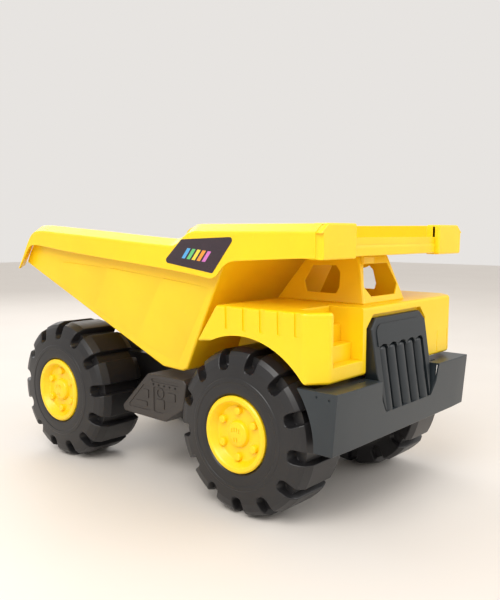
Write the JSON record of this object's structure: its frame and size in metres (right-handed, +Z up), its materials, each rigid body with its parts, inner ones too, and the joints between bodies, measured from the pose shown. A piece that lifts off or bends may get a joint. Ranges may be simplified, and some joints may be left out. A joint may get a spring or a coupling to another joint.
{
  "type": "toy dump truck",
  "caption": "Large hollow plastic sandbox dump truck with an open cab, a bed that tips about a rear pin and free-running lugged wheels.",
  "frame": {"origin": "centre of the truck's footprint box on the ground, at rest on its wheels", "axes": "-Y forward (the way the cab faces), -X the truck's right-hand side, +Z up"},
  "size_m": [0.336, 0.5875, 0.342],
  "materials": {
    "yellow_plastic": "satin moulded, slightly translucent",
    "black_plastic": "satin moulded",
    "wheel_plastic": "soft sheen, blow moulded",
    "slate_plastic": "satin moulded",
    "brown_plastic": "satin moulded",
    "steel": "zinc plated",
    "decal_film": "glossy printed film"
  },
  "bodies": {
    "chassis": {"chassis_frame": "black_plastic", "front_axle": "steel", "rear_axle": "steel", "cab_body": "yellow_plastic", "cab_house": "yellow_plastic", "grille": "slate_plastic", "bumper": "slate_plastic", "side_tank_right": "brown_plastic", "side_tank_left": "brown_plastic", "bed_hinge_pin": "steel", "hinge_pin_caps": "black_plastic", "cab_screws": "steel", "bumper_screws": "steel", "tank_screws": "steel", "grille_screws": "steel", "axle_spacers": "steel", "axle_nut_front_right": "steel", "axle_nut_front_left": "steel", "axle_nut_rear_right": "steel", "axle_nut_rear_left": "steel"},
    "bed": {"dump_bed": "yellow_plastic", "bed_decal_right": "decal_film", "bed_decal_left": "decal_film"},
    "wheel_front_right": {"tyre_front_right": "wheel_plastic", "hub_cap_front_right": "yellow_plastic", "wheel_bush_front_right": "slate_plastic"},
    "wheel_front_left": {"tyre_front_left": "wheel_plastic", "hub_cap_front_left": "yellow_plastic", "wheel_bush_front_left": "slate_plastic"},
    "wheel_rear_right": {"tyre_rear_right": "wheel_plastic", "hub_cap_rear_right": "yellow_plastic", "wheel_bush_rear_right": "slate_plastic"},
    "wheel_rear_left": {"tyre_rear_left": "wheel_plastic", "hub_cap_rear_left": "yellow_plastic", "wheel_bush_rear_left": "slate_plastic"}
  },
  "joints": [
    {"name": "bed_tilt", "type": "hinge", "parent": "chassis", "child": "bed", "pos_m": [0, 0.17375, 0.19], "axis": [-1, 0, 0], "range_deg": [0, 50]},
    {"name": "front_right_wheel_spin", "type": "hinge", "parent": "chassis", "child": "wheel_front_right", "pos_m": [-0.12, -0.15625, 0.1], "axis": [1, 0, 0], "continuous": true},
    {"name": "front_left_wheel_spin", "type": "hinge", "parent": "chassis", "child": "wheel_front_left", "pos_m": [0.12, -0.15625, 0.1], "axis": [1, 0, 0], "continuous": true},
    {"name": "rear_right_wheel_spin", "type": "hinge", "parent": "chassis", "child": "wheel_rear_right", "pos_m": [-0.12, 0.19375, 0.1], "axis": [1, 0, 0], "continuous": true},
    {"name": "rear_left_wheel_spin", "type": "hinge", "parent": "chassis", "child": "wheel_rear_left", "pos_m": [0.12, 0.19375, 0.1], "axis": [1, 0, 0], "continuous": true}
  ]
}
